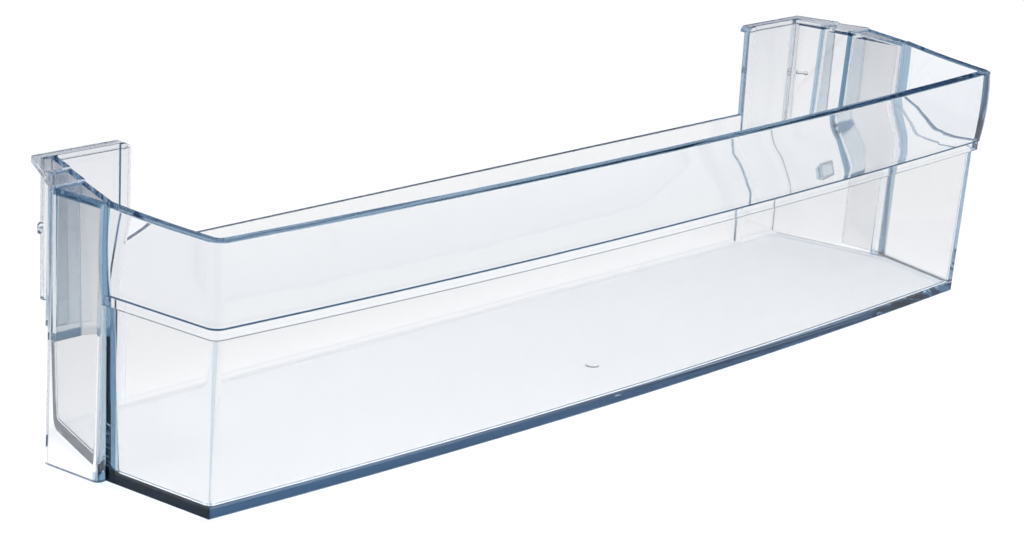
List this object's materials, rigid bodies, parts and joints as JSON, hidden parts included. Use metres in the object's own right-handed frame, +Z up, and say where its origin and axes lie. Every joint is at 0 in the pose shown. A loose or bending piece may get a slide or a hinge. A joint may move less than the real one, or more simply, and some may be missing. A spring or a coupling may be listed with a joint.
{
  "type": "refrigerator door shelf",
  "caption": "Clear blue-tinted fridge door shelf: a long bow-fronted tray with a crowned band round its rim, a low back wall, tall end flanges and hollow ends that hang on the door.",
  "frame": {"origin": "middle of the underside of the bounding box, on the tray's flat base", "axes": "+X along the shelf to its right end as seen from the room, -Y towards the room, +Z up"},
  "size_m": [0.4594, 0.1158, 0.1042],
  "materials": {
    "clear_plastic": "polished, clear with a faint blue tint"
  },
  "bodies": {
    "root": {"door_shelf": "clear_plastic"}
  },
  "joints": []
}
